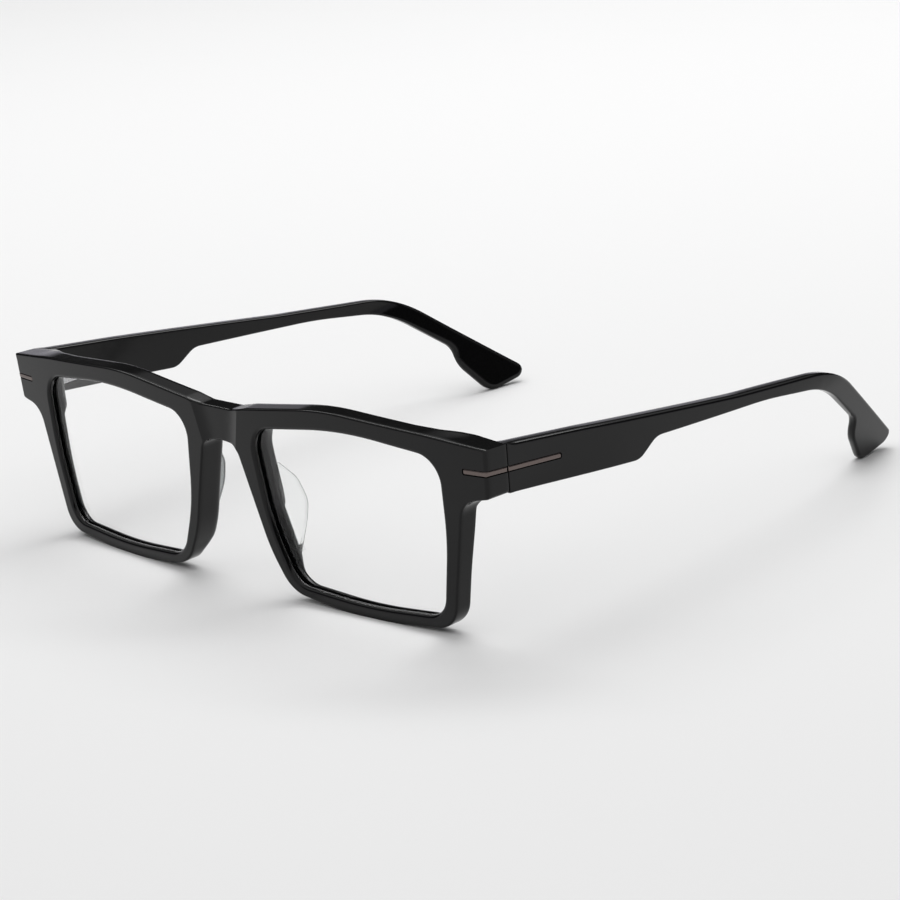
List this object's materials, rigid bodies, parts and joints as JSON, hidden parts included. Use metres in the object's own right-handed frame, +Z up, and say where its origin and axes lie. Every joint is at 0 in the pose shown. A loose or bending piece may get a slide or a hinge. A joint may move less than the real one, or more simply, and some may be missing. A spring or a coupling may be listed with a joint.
{
  "type": "eyeglasses frame",
  "caption": "Rectangular full-rim eyeglasses with clear lenses, clear nose pads and two folding temples.",
  "frame": {"origin": "middle of the footprint, on the surface the glasses stand on", "axes": "+X to the wearer's left, +Y from the front back towards the ears, +Z up"},
  "size_m": [0.1464, 0.137, 0.0412],
  "materials": {
    "acetate": "polished",
    "lens": "clear, coated",
    "nose_pad": "clear, polished",
    "trim": "satin gunmetal plating",
    "hinge": "satin"
  },
  "bodies": {
    "front": {"front_frame": "acetate", "lens_left": "lens", "lens_right": "lens", "nose_pad_left": "nose_pad", "nose_pad_right": "nose_pad", "front_trim_left": "trim", "front_trim_right": "trim", "hinge_front_leaf_left": "hinge", "hinge_front_leaf_right": "hinge", "hinge_screw_left": "hinge", "hinge_screw_right": "hinge"},
    "left_temple": {"temple_left": "acetate", "temple_trim_left": "trim", "hinge_temple_leaf_left": "hinge", "core_wire_left": "hinge"},
    "right_temple": {"temple_right": "acetate", "temple_trim_right": "trim", "hinge_temple_leaf_right": "hinge", "core_wire_right": "hinge"}
  },
  "joints": [
    {"name": "left_temple_hinge", "type": "hinge", "parent": "front", "child": "left_temple", "pos_m": [0.0683, -0.05674, 0.03328], "axis": [0, -0.0279, 0.9996], "range_deg": [0, 84]},
    {"name": "right_temple_hinge", "type": "hinge", "parent": "front", "child": "right_temple", "pos_m": [-0.0683, -0.05674, 0.03328], "axis": [0, 0.0279, -0.9996], "range_deg": [0, 78]}
  ]
}
